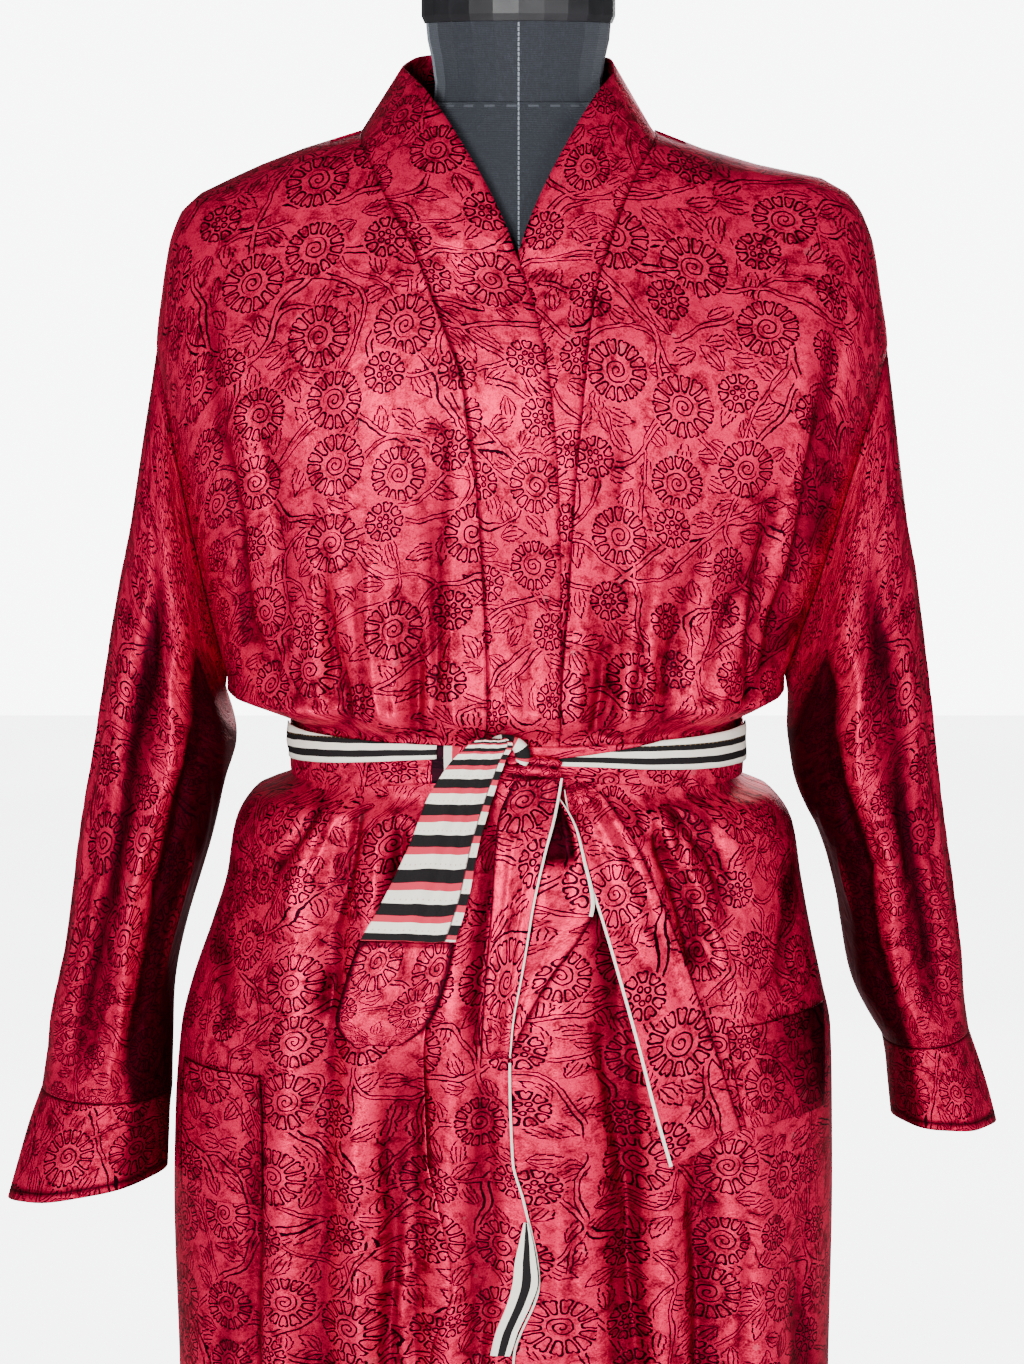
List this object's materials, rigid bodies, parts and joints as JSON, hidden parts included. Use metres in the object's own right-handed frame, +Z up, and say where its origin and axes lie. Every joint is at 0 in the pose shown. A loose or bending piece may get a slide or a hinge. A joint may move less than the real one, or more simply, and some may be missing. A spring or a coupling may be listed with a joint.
{
  "type": "kimono robe on dress form",
  "caption": "Wrapped satin kimono robe with drop-shoulder sleeves, wide neckband, tied belt and patch pockets, hanging on a limbless dress form with a round stand.",
  "frame": {"origin": "centre of the stand plate's underside, on the floor", "axes": "+Z up, the front of the robe faces -Y, and the wearer's left is +X"},
  "size_m": [0.692, 0.35, 1.504],
  "materials": {
    "robe_cloth": "crimson satin, block-printed with dark vine and flower lines",
    "lining_cloth": "cream, black and red striped lining",
    "form_jersey": "charcoal ribbed jersey",
    "form_cap": "black",
    "stand": "black powder coat"
  },
  "bodies": {
    "root": {"back": "robe_cloth", "front_right": "robe_cloth", "front_left": "robe_cloth", "sleeve_right": "robe_cloth", "sleeve_left": "robe_cloth", "cuff_right": "robe_cloth", "cuff_left": "robe_cloth", "neckband": "robe_cloth", "pocket_right": "robe_cloth", "pocket_left": "robe_cloth", "facing_right": "lining_cloth", "belt": "robe_cloth", "belt_turn_right": "lining_cloth", "belt_turn_left": "lining_cloth", "belt_knot": "lining_cloth", "belt_tail_right": "lining_cloth", "belt_tail_end": "robe_cloth", "belt_tail_left": "robe_cloth", "belt_loop": "robe_cloth", "form_torso": "form_jersey", "form_neck": "form_jersey", "form_cap": "form_cap", "stand_base": "stand", "stand_pole": "stand"}
  },
  "joints": []
}
